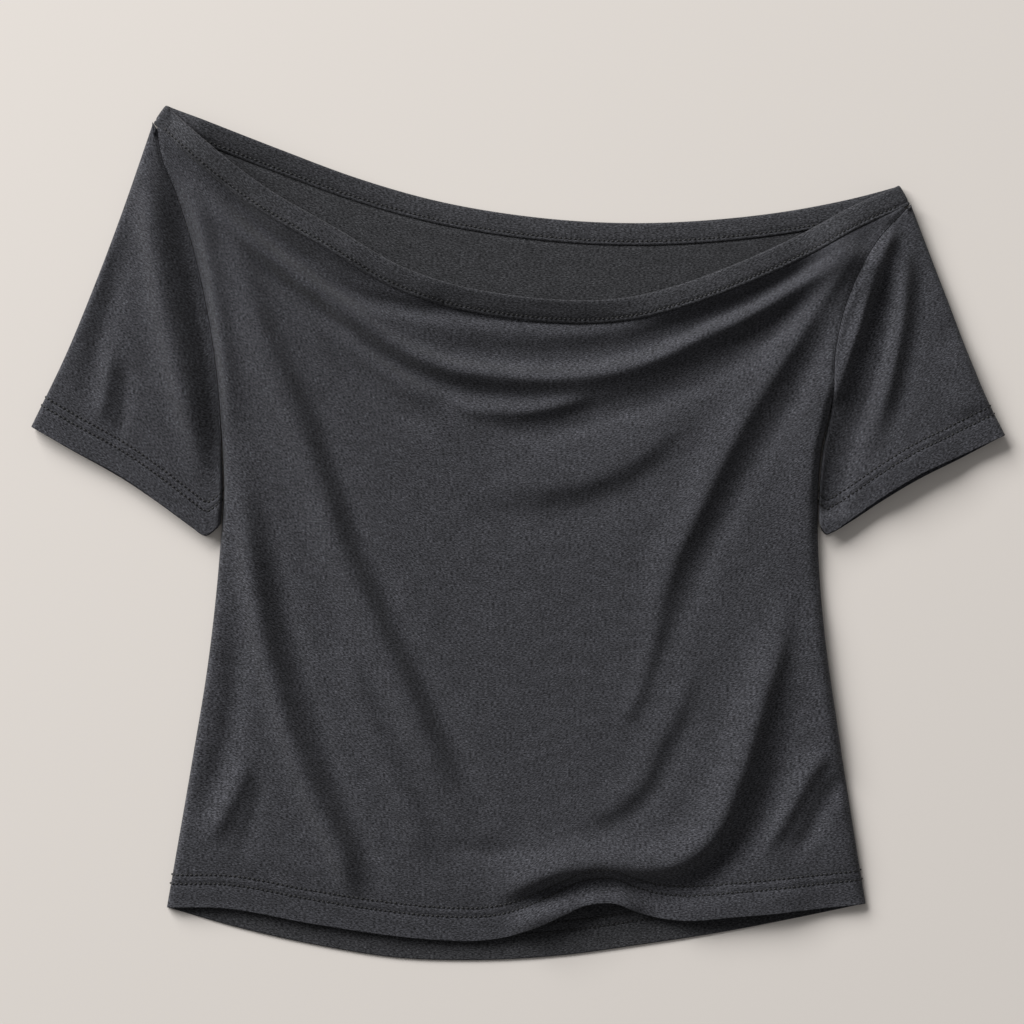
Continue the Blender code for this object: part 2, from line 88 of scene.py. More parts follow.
HEM_FRONT = (
    (-228.5, -243.5), (-196, -243.5), (-133, -254), (-91, -260.5), (-51, -264.5),
    (-27, -265), (-10, -263), (10, -256.5), (29, -248), (42, -242), (53, -240),
    (64, -240.5), (76, -245.5), (89, -249.5), (106, -251.5), (144, -249), (226, -241),
)
TIP_LEFT = (-237.2, 266.3)
TIP_RIGHT = (255.2, 213.2)

# A path is walked from its first point; left and right are the widths on each side of it,
# and fade_in and fade_out are the shares of it that die away. A height below 0 is a trough.
Fold = namedtuple("Fold", "path height left right fade_in fade_out")
FOLD_REACH = 2.6
FOLDS = (
    # Neck edge, lifted off the back panel
    Fold(((-229, 270), (-197, 242), (-161, 213), (-122, 187), (-77, 166),
          (-31, 151)), 6.5, 20, 8, 0.05, 0.6),
    Fold(((-229, 270), (-161, 214), (-77, 167), (-12, 148), (53, 143), (118, 153), (170, 172),
          (216, 193), (238, 207)), 5.5, 15, 8, 0.1, 0.1),
    # Swags that hang between the shoulders
    Fold(((-210, 242), (-181, 212), (-158, 190), (-135, 175), (-113, 158), (-77, 147), (-44, 144),
          (-12, 140), (21, 138), (53, 138), (79, 140), (105, 147)), -6.0, 5, 5, 0.15, 0.2),
    Fold(((-109, 142), (-77, 127), (-44, 118), (-12, 114), (21, 113), (53, 116), (86, 123), (118, 138),
          (151, 153), (183, 171), (209, 186)), -6.0, 10, 6, 0.3, 0.1),
    Fold(((-217, 231), (-194, 208), (-174, 190), (-142, 164), (-109, 142), (-77, 121), (-44, 107),
          (-12, 102), (21, 100), (53, 103), (86, 112), (118, 127), (151, 142), (183, 161), (209, 179),
          (229, 193)), 6.2, 6, 7, 0.15, 0.1),
    Fold(((-207, 210), (-174, 179), (-142, 153), (-109, 129), (-77, 109), (-44, 95), (-12, 90),
          (21, 90), (47, 94)), -5.2, 6, 5, 0.3, 0.3),
    Fold(((-51, 85), (-25, 79), (8, 79), (34, 84), (53, 92)), 3.2, 5, 5, 0.3, 0.3),
    Fold(((-31, 68), (-5, 67), (21, 69), (53, 78), (86, 88), (118, 102), (151, 123), (183, 147),
          (209, 171)), -6.0, 10, 9, 0.25, 0.15),
    Fold(((-25, 36), (21, 31), (53, 38), (79, 51), (99, 67), (118, 83)), 3.6, 20, 9, 0.3, 0.3),
    Fold(((-51, 18), (-12, 11), (27, 13), (60, 23), (86, 39), (112, 60)), -2.2, 9, 16, 0.3, 0.3),
    Fold(((-127, 148), (-100, 119), (-74, 96), (-44, 77)), 3.6, 6, 6, 0.3, 0.3),
    Fold(((-132, 132), (-106, 105), (-80, 82), (-51, 62)), -3.0, 6, 8, 0.3, 0.3),
    # Long folds from the left shoulder to the hem
    Fold(((-197, 223), (-184, 184), (-174, 151), (-165, 125), (-153, 98), (-143, 75), (-134, 51),
          (-125, 25), (-116, -5), (-103, -35), (-90, -64), (-75, -96), (-62, -125), (-44, -161),
          (-25, -193)), 8.5, 10, 14, 0.25, 0.2),
    Fold(((-163, 132), (-148, 103), (-134, 77), (-124, 51), (-114, 25), (-104, -5), (-90, -37),
          (-77, -66), (-61, -99), (-48, -128), (-28, -164), (-12, -193)), -4.2, 8, 11, 0.3, 0.2),
    Fold(((-186, 73), (-177, 8), (-171, -37), (-164, -76), (-151, -122), (-136, -164), (-116, -206),
          (-103, -239)), 7.5, 9, 8, 0.3, 0.1),
    Fold(((-163, 21), (-155, -31), (-143, -83), (-127, -131), (-113, -174), (-96, -213),
          (-85, -242)), -3.8, 7, 8, 0.3, 0.15),
    Fold(((-116, -57), (-101, -109), (-82, -154), (-65, -193), (-59, -219)), 3.6, 8, 11, 0.3, 0.2),
    Fold(((-173, -138), (-181, -161), (-191, -183), (-205, -205)), 3.4, 6, 7, 0.35, 0.3),
    Fold(((-165, -151), (-169, -174), (-176, -196), (-182, -213)), -1.6, 6, 5, 0.3, 0.3),
    Fold(((-181, -44), (-183, -83), (-185, -115), (-192, -148), (-203, -177),
          (-212, -196)), -3.6, 8, 8, 0.3, 0.3),
    # Long folds from the right shoulder
    Fold(((222, 190), (206, 166), (191, 146), (178, 123), (164, 101), (149, 78), (136, 55), (125, 33),
          (113, 8), (101, -16), (92, -44), (79, -76), (65, -109)), 5.6, 7, 12, 0.05, 0.4),
    Fold(((229, 179), (216, 155), (201, 129), (188, 106), (175, 83), (160, 60), (147, 38), (135, 15),
          (123, -8), (112, -37), (100, -70), (86, -102)), -3.0, 8, 8, 0.2, 0.3),
    Fold(((238, 194), (226, 171), (213, 145), (204, 119), (198, 86), (193, 54), (190, 8),
          (187, -44)), 4.6, 5, 16, 0.1, 0.4),
    Fold(((97, -44), (89, -70), (82, -92), (74, -112), (61, -131)), 2.2, 5, 7, 0.3, 0.3),
    Fold(((121, -70), (110, -96), (100, -118), (89, -141), (81, -161), (66, -175), (48, -184),
          (27, -187)), 2.2, 7, 10, 0.3, 0.35),
    Fold(((121, -102), (112, -125), (100, -144), (89, -164), (76, -181), (53, -194),
          (30, -198)), -2.0, 8, 8, 0.3, 0.3),
    # The fold that hooks round above the hem, and the hem wave at its foot
    Fold(((174, -31), (169, -70), (160, -102), (153, -125), (146, -148), (138, -170), (129, -190),
          (116, -205), (99, -214), (79, -216), (53, -215), (27, -219), (4, -227),
          (-22, -237)), 9.5, 8, 14, 0.25, 0.12),
    Fold(((-12, -245), (8, -240), (27, -233), (47, -230), (66, -230), (86, -232), (105, -232),
          (121, -226), (134, -214), (149, -200), (160, -179), (168, -154), (175, -128),
          (181, -96)), -5.5, 8, 8, 0.15, 0.3),
    Fold(((-12, -259), (11, -250), (30, -242), (47, -237), (61, -235), (76, -240),
          (92, -246)), 8.0, 8, 12, 0.25, 0.25),
    Fold(((79, -248), (118, -248), (157, -244), (203, -239)), 4.0, 14, 30, 0.3, 0.3),
    Fold(((204, -138), (193, -151), (183, -167), (175, -181), (166, -196),
          (155, -211)), 4.0, 5, 7, 0.2, 0.3),
    Fold(((214, -153), (204, -167), (195, -183), (186, -200), (174, -214)), -3.2, 5, 6, 0.25, 0.3),
    Fold(((-51, -203), (-25, -206), (8, -205)), -1.6, 6, 6, 0.2, 0.3),
    Fold(((205, -18), (208, -70), (211, -122), (214, -174)), 3.0, 10, 18, 0.3, 0.3),
    # Left sleeve, down from the shoulder seam
    Fold(((-239, 262), (-239, 239), (-239, 216), (-237, 194), (-233, 171), (-230, 148), (-224, 122),
          (-218, 96), (-211, 70), (-205, 46), (-200, 21)), 9.5, 13, 9, 0.3, 0.3),
    Fold(((-233, 255), (-225, 226), (-216, 197), (-208, 164), (-203, 132), (-198, 99), (-195, 67),
          (-194, 34), (-194, 8)), -6.0, 5, 9, 0.25, 0.3),
    Fold(((-220, 236), (-208, 207), (-200, 176), (-195, 145), (-191, 116), (-188, 86),
          (-186, 54)), 4.0, 8, 3, 0.2, 0.3),
    Fold(((-254, 197), (-264, 151), (-275, 112), (-280, 77)), -3.0, 8, 8, 0.3, 0.3),
    Fold(((-264, 122), (-267, 96), (-272, 67)), 2.4, 5, 5, 0.3, 0.3),
    Fold(((-254, 116), (-255, 86), (-260, 54)), -2.0, 5, 5, 0.3, 0.3),
    Fold(((-246, 235), (-238, 227), (-228, 216), (-218, 203)), 0.8, 1.6, 1.6, 0.1, 0.2),
    # Right sleeve: a lip along the seam, a deep valley beside it, then a soft fold
    Fold(((244, 200), (235, 176), (227, 155), (221, 135), (214, 116), (208, 96),
          (204, 79)), 6.0, 5, 6, 0.1, 0.15),
    Fold(((244, 176), (240, 151), (234, 119), (224, 86), (214, 57), (207, 31),
          (201, 8)), -6.5, 7, 10, 0.2, 0.05),
    Fold(((251, 194), (250, 151), (245, 119), (237, 86), (225, 47)), 5.4, 7, 8, 0.25, 0.4),
    Fold(((260, 194), (258, 151), (253, 119), (247, 86), (235, 47)), -2.4, 8, 8, 0.25, 0.4),
    Fold(((281, 132), (290, 99), (297, 73)), 2.6, 16, 14, 0.4, 0.2),
    Fold(((221, 18), (238, 31), (264, 44), (290, 59)), 3.0, 20, 30, 0.3, 0.3),
)


def lengths(curve):
    """Distance along a curve at each of its points."""
    steps = np.linalg.norm(np.diff(curve, axis=0), axis=1)
    return np.concatenate([[0.0], np.cumsum(steps)])


def smooth(points, fine=24):
    """A smooth curve through the points, sampled closely."""
    knots_at = np.asarray(points, float)
    knots = lengths(knots_at)
    slopes = np.gradient(knots_at, knots, axis=0)
    where = np.linspace(0.0, knots[-1], fine * len(knots_at))
    k = np.clip(np.searchsorted(knots, where, side="right") - 1, 0, len(knots) - 2)
    span = (knots[k + 1] - knots[k])[:, None]
    t = (where - knots[k])[:, None] / span
    start = (2 * t**3 - 3 * t**2 + 1) * knots_at[k] + (t**3 - 2 * t**2 + t) * span * slopes[k]
    end = (3 * t**2 - 2 * t**3) * knots_at[k + 1] + (t**3 - t**2) * span * slopes[k + 1]
    return start + end


def along(curve, share):
    """Points at the given shares of a curve's length."""
    run = lengths(curve)
    at = np.asarray(share) * run[-1]
    return np.stack([np.interp(at, run, curve[:, axis]) for axis in range(curve.shape[1])], axis=-1)


def beside(curve, distance):
    """A curve moved sideways, to the left of its direction when the distance is positive."""
    tangent = np.gradient(curve, lengths(curve), axis=0)
    tangent /= np.linalg.norm(tangent, axis=-1, keepdims=True)
    return curve + distance * np.stack([-tangent[:, 1], tangent[:, 0]], axis=-1)


def soft_step(value, start, end):
    """0 before start, 1 after end, eased between them."""
    t = np.clip((value - start) / (end - start), 0.0, 1.0)
    return t * t * (3 - 2 * t)


def stations(length, near_start, near_end, count):
    """Shares along rows of the given lengths: set distances at both ends, even between."""
    length = np.atleast_1d(length)[:, None]
    first = np.asarray(near_start)[None, :] / length
    last = 1 - np.asarray(near_end)[None, ::-1] / length
    inner = np.linspace(0, 1, count + 2)[1:-1]
    middle = first[:, -1:] + (last[:, :1] - first[:, -1:]) * inner
    return np.hstack([first, middle, last])


def round_steps(radius, count):
    """Distances from a folded edge that step evenly round its curve."""
    return [radius * (1 - math.cos(math.pi / 2 * k / count)) for k in range(count + 1)]


def patch(top, bottom, left, right, u, v):
    """Plan positions between four border curves; u runs along the rows and v down them."""
    u3, v3 = u[..., None], v[..., None]
    rows = (1 - v3) * along(top, u) + v3 * along(bottom, u)
    columns = (1 - u3) * along(left, v) + u3 * along(right, v)
    corners = (1 - v3) * ((1 - u3) * top[0] + u3 * top[-1]) + v3 * ((1 - u3) * bottom[0] + u3 * bottom[-1])
    return rows + columns - corners


def fold_height(plan, fold):
    """Height of one fold at each plan position; it is worked out only near its path."""
    path = along(smooth(fold.path), np.linspace(0, 1, 6 * len(fold.path)))
    reach = FOLD_REACH * max(fold.left, fold.right)
    near = ((plan > path.min(axis=0) - reach) & (plan < path.max(axis=0) + reach)).all(axis=-1)
    spots = plan[near]
    start, step = path[:-1], np.diff(path, axis=0)
    offset = spots[:, None, :] - start
    t = np.clip((offset * step).sum(-1) / (step**2).sum(-1), 0, 1)
    gap = offset - t[..., None] * step
    distance = np.linalg.norm(gap, axis=-1)
    nearest = distance.argmin(axis=-1)
    pick = np.arange(len(spots)), nearest
    side = step[nearest, 0] * gap[pick][:, 1] - step[nearest, 1] * gap[pick][:, 0]
    place = (nearest + t[pick]) / len(step)
    width = np.where(side > 0, fold.left, fold.right)
    bump = np.exp(-(distance[pick] / width) ** 2)
    height = np.zeros(plan.shape[:-1])
    fade = soft_step(place, 0, fold.fade_in) * soft_step(1 - place, 0, fold.fade_out)
    height[near] = fold.height * bump * fade
    return height


def ripple(plan, seed, size):
    """Soft uneven waves of cloth that isn't pressed, between -1 and 1."""
    draw = np.random.default_rng(seed)
    waves = np.zeros(plan.shape[:-1])
    for _ in range(14):
        angle, phase = draw.uniform(0, math.pi), draw.uniform(0, 2 * math.pi)
        length = size * draw.uniform(0.7, 1.6)
        across = plan[..., 0] * math.cos(angle) + plan[..., 1] * math.sin(angle)
        waves += np.sin(2 * math.pi * across / length + phase)
    return waves / 14


def front_level(plan):
    """Top of the front layer above the floor, before its edges round down."""
    hem = smooth(HEM_FRONT)
    above_hem = plan[..., 1] - np.interp(plan[..., 0], hem[:, 0], hem[:, 1])
    air = HEM_AIR + (AIR - HEM_AIR) * soft_step(above_hem, 0, HEM_CALM)
    for fold in FOLDS:
        air = air + fold_height(plan, fold)
    for seed, (size, length) in ((3, WAVES_LONG), (5, WAVES_SHORT)):
        air = air + size * ripple(plan, seed, length)
    air = AIR_MIN + AIR_SOFT * np.logaddexp(0, (air - AIR_MIN) / AIR_SOFT)
    return LEVEL_BASE + np.minimum(air, AIR_MAX)


def arc_share(distance, radius):
    """Share of full height at a distance in from a folded edge."""
    return np.sqrt(1 - (1 - np.clip(distance / radius, 0, 1)) ** 2)


def grid_normals(grid):
    """Unit normals of a grid of points, upward for rows down and columns to the right."""
    normal = np.cross(np.gradient(grid, axis=0), np.gradient(grid, axis=1))
    return normal / np.linalg.norm(normal, axis=-1, keepdims=True)


def groove(distance, depth, width):
    """The dent that a seam or a row of stitches pulls into the cloth."""
    return -depth * np.exp(-(distance / width) ** 2)


def wall_object(name, outside, inside, grain, cloth):
    """A closed wall of cloth between two grids, smooth, with a grain map in millimetres."""
    rows, columns = outside.shape[:2]
    count = rows * columns
    index = np.arange(count).reshape(rows, columns)
    quads = np.stack([index[:-1, :-1], index[1:, :-1], index[1:, 1:], index[:-1, 1:]], axis=-1)
    quads = quads.reshape(-1, 4)
    rim = np.concatenate([index[0], index[1:, -1], index[-1, -2::-1], index[-2:0:-1, 0]])
    after = np.roll(rim, -1)
    sides = np.stack([rim, after, after + count, rim + count], axis=-1)
    faces = np.vstack([quads, quads[:, ::-1] + count, sides])
    points = np.vstack([outside.reshape(-1, 3), inside.reshape(-1, 3)]) * MM
    mesh = bpy.data.meshes.new(name)
    mesh.from_pydata(points.tolist(), [], faces.tolist())
    layer = mesh.uv_layers.new(name="grain")
    flat = np.vstack([grain.reshape(-1, 2)] * 2)
    layer.data.foreach_set("uv", flat[faces.reshape(-1)].reshape(-1))
    mesh.polygons.foreach_set("use_smooth", np.ones(len(faces), bool))
    mesh.materials.append(cloth)
    mesh.update()
    piece = bpy.data.objects.new(name, mesh)
    bpy.context.scene.collection.objects.link(piece)
    return piece


def grain_map(plan):
    """Grain coordinates: distance along each row from its middle, and down each column."""
    across = np.linalg.norm(np.diff(plan, axis=1), axis=-1).cumsum(axis=1)
    across = np.hstack([np.zeros((len(plan), 1)), across])
    across -= across[:, across.shape[1] // 2][:, None]
    down = np.linalg.norm(np.diff(plan, axis=0), axis=-1).mean(axis=1).cumsum()
    down = np.concatenate([[0.0], down])[:, None] + np.zeros_like(across)
    return np.dstack([across, down])


def jersey(name, colour, light, dark):
    """Heather jersey: light and dark fibres along the knitted rows, over soft mottling."""
    cloth = bpy.data.materials.new(name)
    cloth.use_nodes = True
    tree = cloth.node_tree
    tree.nodes.clear()
    nodes, links = tree.nodes, tree.links
    out = nodes.new("ShaderNodeOutputMaterial")
    shader = nodes.new("ShaderNodeBsdfPrincipled")
    shader.inputs["Roughness"].default_value = 0.95
    shader.inputs["Specular IOR Level"].default_value = 0.25
    shader.inputs["Sheen Weight"].default_value = 0.12
    shader.inputs["Sheen Roughness"].default_value = 0.5
    links.new(shader.outputs["BSDF"], out.inputs["Surface"])
    grain = nodes.new("ShaderNodeUVMap")
    grain.uv_map = "grain"

    def fibres(length, thickness, detail):
        """Noise drawn out along the knitted rows."""
        stretch = nodes.new("ShaderNodeMapping")
        stretch.inputs["Scale"].default_value = (1 / length, 1 / thickness, 1)
        noise = nodes.new("ShaderNodeTexNoise")
        noise.noise_dimensions = "2D"
        noise.inputs["Scale"].default_value = 1.0
        noise.inputs["Detail"].default_value = detail
        noise.inputs["Roughness"].default_value = 0.6
        links.new(grain.outputs["UV"], stretch.inputs["Vector"])
        links.new(stretch.outputs["Vector"], noise.inputs["Vector"])
        return noise.outputs["Fac"]

    def ramp(value, low, high, first, last):
        """Colours from first to last as the value goes from low to high."""
        blend = nodes.new("ShaderNodeValToRGB")
        blend.color_ramp.elements[0].position = low
        blend.color_ramp.elements[1].position = high
        blend.color_ramp.elements[0].color = (*first, 1)
        blend.color_ramp.elements[1].color = (*last, 1)
        links.new(value, blend.inputs["Fac"])
        return blend.outputs["Color"]

    def multiply(first, second):
        """One colour times another."""
        blend = nodes.new("ShaderNodeMix")
        blend.data_type = "RGBA"
        blend.blend_type = "MULTIPLY"
        blend.inputs["Factor"].default_value = 1.0
        links.new(first, blend.inputs["A"])
        links.new(second, blend.inputs["B"])
        return blend.outputs["Result"]

    base = ramp(fibres(1.9, 0.75, 3.0), 0.34, 0.66, dark, light)
    mottle = ramp(fibres(14.0, 6.0, 2.0), 0.3, 0.7, (0.85, 0.85, 0.85), (1.12, 1.12, 1.12))
    pale = ramp(fibres(1.5, 0.6, 1.0), 0.57, 0.73, (1, 1, 1), (1.9, 1.9, 1.9))
    links.new(multiply(multiply(base, mottle), pale), shader.inputs["Base Color"])
    bump = nodes.new("ShaderNodeBump")
    bump.inputs["Strength"].default_value = 0.35
    bump.inputs["Distance"].default_value = 0.0003
    links.new(fibres(1.4, 0.7, 2.0), bump.inputs["Height"])
    links.new(bump.outputs["Normal"], shader.inputs["Normal"])
    shader.inputs["Metallic"].default_value = 0.0
    cloth.diffuse_color = (*colour, 1)
    return cloth


JERSEY_COLOUR = (0.043, 0.044, 0.048)
JERSEY_LIGHT = (0.064, 0.065, 0.075)
JERSEY_DARK = (0.0072, 0.0072, 0.0090)
jersey_cloth = jersey("jersey", JERSEY_COLOUR, JERSEY_LIGHT, JERSEY_DARK)


def tip_way(upper, lower):
    """Direction of the fold across the binding at a shoulder tip."""
    way = np.array(upper, float) - np.array(lower, float)
    return way / np.linalg.norm(way)


def band_width_way(edge, share, blend=30.0):
    """Unit vectors across the binding, from its seam to its free edge."""
    run = lengths(edge)[-1]
    step = 0.5 / run
    tangent = along(edge, np.clip(share + step, 0, 1)) - along(edge, np.clip(share - step, 0, 1))
    square = np.stack([-tangent[:, 1], tangent[:, 0]], axis=-1)
    square /= np.linalg.norm(square, axis=-1, keepdims=True)
    near_left = (1 - soft_step(share * run, 0, blend))[:, None]
    near_right = (1 - soft_step((1 - share) * run, 0, blend))[:, None]
    way = square * (1 - near_left - near_right)
    way += tip_way(NECK_FRONT[0], TIP_LEFT) * near_left + tip_way(NECK_FRONT[-1], TIP_RIGHT) * near_right
    return way / np.linalg.norm(way, axis=-1, keepdims=True)


def panel_top(points, left, right, tuck=-0.8):
    """A panel's upper border along the binding, from one armhole seam's start to the other's."""
    edge = smooth(points)
    share = np.linspace(0, 1, 300)
    seam = along(edge, share) - (BAND_WIDTH + tuck) * band_width_way(edge, share)
    seam = seam[(seam[:, 0] > left[0][0] + 0.5) & (seam[:, 0] < right[0][0] - 0.5)]
    return np.vstack([left[:1], seam, right[:1]])


def stitch_nodes():
    """Geometry nodes that lay one stitch at each step of a line: a flattened bead of thread."""
    group = bpy.data.node_groups.new("stitch_row", "GeometryNodeTree")
    sockets = {}
    for name, kind in (("Line", "NodeSocketGeometry"), ("Pitch", "NodeSocketFloat"),
                       ("Size", "NodeSocketVector"), ("Thread", "NodeSocketMaterial")):
        sockets[name] = group.interface.new_socket(name, in_out="INPUT", socket_type=kind).identifier
    group.interface.new_socket("Stitches", in_out="OUTPUT", socket_type="NodeSocketGeometry")
    nodes, links = group.nodes, group.links
    given, result = nodes.new("NodeGroupInput"), nodes.new("NodeGroupOutput")
    curve = nodes.new("GeometryNodeMeshToCurve")
    steps = nodes.new("GeometryNodeResampleCurve")
    steps.mode = "LENGTH"
    tangent = nodes.new("GeometryNodeInputTangent")
    turn = nodes.new("FunctionNodeAlignRotationToVector")
    turn.axis = "X"
    bead = nodes.new("GeometryNodeMeshUVSphere")
    bead.inputs["Segments"].default_value = 8
    bead.inputs["Rings"].default_value = 5
    bead.inputs["Radius"].default_value = 0.5
    place = nodes.new("GeometryNodeInstanceOnPoints")
    real = nodes.new("GeometryNodeRealizeInstances")
    paint = nodes.new("GeometryNodeSetMaterial")
    round_off = nodes.new("GeometryNodeSetShadeSmooth")
    links.new(given.outputs["Line"], curve.inputs["Mesh"])
    links.new(curve.outputs["Curve"], steps.inputs["Curve"])
    links.new(given.outputs["Pitch"], steps.inputs["Length"])
    links.new(tangent.outputs["Tangent"], turn.inputs["Vector"])
    links.new(steps.outputs["Curve"], place.inputs["Points"])
    links.new(bead.outputs["Mesh"], place.inputs["Instance"])
    links.new(turn.outputs["Rotation"], place.inputs["Rotation"])
    links.new(given.outputs["Size"], place.inputs["Scale"])
    links.new(place.outputs["Instances"], real.inputs["Geometry"])
    links.new(real.outputs["Geometry"], round_off.inputs["Geometry"])
    links.new(round_off.outputs["Geometry"], paint.inputs["Geometry"])
    links.new(given.outputs["Thread"], paint.inputs["Material"])
    links.new(paint.outputs["Geometry"], result.inputs["Stitches"])
    return group, sockets


STITCH_PITCH = 3.1
STITCH_SIZE = (2.2, 1.5, 0.8)
STITCH_LIFT = 0.25
stitch_group, stitch_sockets = stitch_nodes()
# The thread is coloured almost black, far darker than the cloth: painted shade for the needle holes and
# dents along each row of stitches.
thread_painted_shade = bpy.data.materials.new("thread_painted_shade")
thread_painted_shade.use_nodes = True
thread_painted_shade_shader = thread_painted_shade.node_tree.nodes["Principled BSDF"]
thread_painted_shade_shader.inputs["Base Color"].default_value = (0.004, 0.004, 0.0045, 1)
thread_painted_shade_shader.inputs["Roughness"].default_value = 0.6


def row_at(grid, distance, wanted):
    """The line across a grid at a wanted distance, which falls from row to row."""
    return np.array([
        [np.interp(-wanted, -distance[:, j], grid[:, j, axis]) for axis in range(3)]
        for j in range(grid.shape[1])
    ])


def stitch_row(name, line, painted_shade_thread):
    """A row of stitches along a line, as a plain mesh that rides with the garment."""
    points = (line + (0, 0, STITCH_LIFT)) * MM
    mesh = bpy.data.meshes.new(name + "_line")
    mesh.from_pydata(points.tolist(), [(k, k + 1) for k in range(len(points) - 1)], [])
    maker = bpy.data.objects.new(name + "_line", mesh)
    bpy.context.scene.collection.objects.link(maker)
    sewing = maker.modifiers.new("sewing", "NODES")
    sewing.node_group = stitch_group
    sewing[stitch_sockets["Pitch"]] = STITCH_PITCH * MM
    sewing[stitch_sockets["Size"]] = [size * MM for size in STITCH_SIZE]
    sewing[stitch_sockets["Thread"]] = painted_shade_thread
    bpy.context.view_layer.update()
    made = bpy.data.meshes.new_from_object(maker.evaluated_get(bpy.context.evaluated_depsgraph_get()))
    bpy.data.objects.remove(maker)
    piece = bpy.data.objects.new(name, made)
    bpy.context.scene.collection.objects.link(piece)
    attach(piece, "root")
    return piece


left_side, right_side = smooth(SIDE_LEFT), smooth(SIDE_RIGHT)
front_top, front_hem = panel_top(NECK_FRONT, left_side, right_side), smooth(HEM_FRONT)
# Rows of the mesh near the neck and near the hem lie at these distances from the edge
NECK_STEPS = (0.0, 0.8, 2.0)
HEM_STEPS = (
    0.0, 0.5, 1.5, 3.5, 6.0, 8.5, 11.0, 13.2, 14.5, 15.6, 16.7, 18.0, 19.2, 20.4, 21.4, 22.4, 23.6,
)
FRONT_ROWS, FRONT_COLUMNS = 180, 185
rows_v = np.linspace(0, 1, FRONT_ROWS + len(NECK_STEPS) + len(HEM_STEPS))
row_length = np.linalg.norm(along(right_side, rows_v) - along(left_side, rows_v), axis=-1)
front_u = stations(row_length, round_steps(LEFT_ROUND, 7), round_steps(RIGHT_ROUND, 8), FRONT_COLUMNS)
mean_u = front_u.mean(axis=0)
column_length = np.linalg.norm(along(front_hem, mean_u) - along(front_top, mean_u), axis=-1)
front_v = stations(column_length, NECK_STEPS, HEM_STEPS, FRONT_ROWS).T
front_plan = patch(front_top, front_hem, left_side, right_side, front_u, front_v)
above_hem = (1 - front_v) * column_length
turned = 1 - soft_step(above_hem, HEM_DEPTH, HEM_DEPTH + HEM_STEP)
front_height = front_level(front_plan) + HEM_EXTRA * turned
for row in STITCH_ROWS:
    front_height += groove(above_hem - row, *STITCH_GROOVE)
front_height += groove(front_v * column_length, *NECK_GROOVE)
from_left = np.linalg.norm(front_plan - front_plan[:, :1], axis=-1)
from_right = np.linalg.norm(front_plan - front_plan[:, -1:], axis=-1)
folded_left = soft_step(-front_plan[:, :1, 1], -ARMPIT_TOP, -ARMPIT_END)
folded_right = soft_step(-front_plan[:, -1:, 1], -ARMPIT_TOP, -ARMPIT_END)
armhole_dent = groove(from_left, *ARMHOLE_GROOVE) * (1 - folded_left)
armhole_dent += groove(from_right, *ARMHOLE_GROOVE) * (1 - folded_right)
front_height += armhole_dent
rise = 1 - folded_left * (1 - arc_share(from_left, LEFT_ROUND))
rise *= 1 - folded_right * (1 - arc_share(from_right, RIGHT_ROUND))
front_outside = np.dstack([front_plan, FRONT_FLOOR + (front_height - FRONT_FLOOR) * rise])
front_normal = grid_normals(front_outside)
front_normal[0, :, :2] = 0
front_normal[-1, :, 1] = 0
front_normal[:, :1, :2] *= folded_left[..., None]
front_normal[:, -1:, :2] *= folded_right[..., None]
front_normal /= np.linalg.norm(front_normal, axis=-1, keepdims=True)
front_inside = front_outside - CLOTH * front_normal
front_inside[..., 2] = np.maximum(front_inside[..., 2], FRONT_FLOOR)
front_grain = grain_map(front_plan)
front_panel = wall_object("front_panel_cloth", front_outside, front_inside, front_grain, jersey_cloth)
front_stitches = [
    stitch_row(f"front_hem_stitches_{k}", row_at(front_outside, above_hem, row), thread_painted_shade)
    for k, row in enumerate(STITCH_ROWS)
]
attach(front_panel, "root")
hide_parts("front_panel")

# Back panel. The same jersey, flat on the surface. Its colour is darker than the front's: painted
# shade for the deep neck opening, over the whole panel. Its inside shows in the neck opening,
# and its hem shows below the front one.
HEM_BACK = (
    (-228.5, -243.5), (-181, -257), (-129, -268.5), (-77, -276.5), (-38, -278),
    (27, -275), (79, -268), (131, -260), (183, -250), (226, -241),
)
BACK_UNDER = 0.1
BACK_STITCH_GROOVE = (0.3, 1.3)
# Reverse colours darker than the front jersey: painted shade for the neck opening, used on the whole back
# panel.
REVERSE_LIGHT_PAINTED_SHADE = (0.052, 0.053, 0.058)
REVERSE_DARK_PAINTED_SHADE = (0.0065, 0.0065, 0.008)
reverse_cloth_painted_shade = jersey("jersey_reverse_painted_shade", JERSEY_COLOUR, REVERSE_LIGHT_PAINTED_SHADE, REVERSE_DARK_PAINTED_SHADE)
back_top, back_hem = panel_top(NECK_BACK, left_side, right_side), smooth(HEM_BACK)
back_rows = np.concatenate([np.linspace(0, 0.92, 90), np.linspace(0.92, 1, 45)[1:]])
back_u, back_v = np.meshgrid(np.linspace(0, 1, 150), back_rows)
back_plan = patch(back_top, back_hem, left_side, right_side, back_u, back_v)
back_length = np.linalg.norm(along(back_hem, back_u[0]) - along(back_top, back_u[0]), axis=-1)
above_back_hem = (1 - back_v) * back_length
back_height = np.full(back_u.shape, BACK_TOP)
for row in STITCH_ROWS:
    back_height += groove(above_back_hem - row, *BACK_STITCH_GROOVE)
back_outside = np.dstack([back_plan, back_height])
back_inside = np.dstack([back_plan, np.full(back_u.shape, BACK_UNDER)])
back_panel = wall_object("back_panel_cloth", back_outside, back_inside, grain_map(back_plan), reverse_cloth_painted_shade)
for k, row in enumerate(STITCH_ROWS):
    stitch_row(f"back_hem_stitches_{k}", row_at(back_outside, above_back_hem, row), thread_painted_shade)
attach(back_panel, "root")
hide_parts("back_panel")

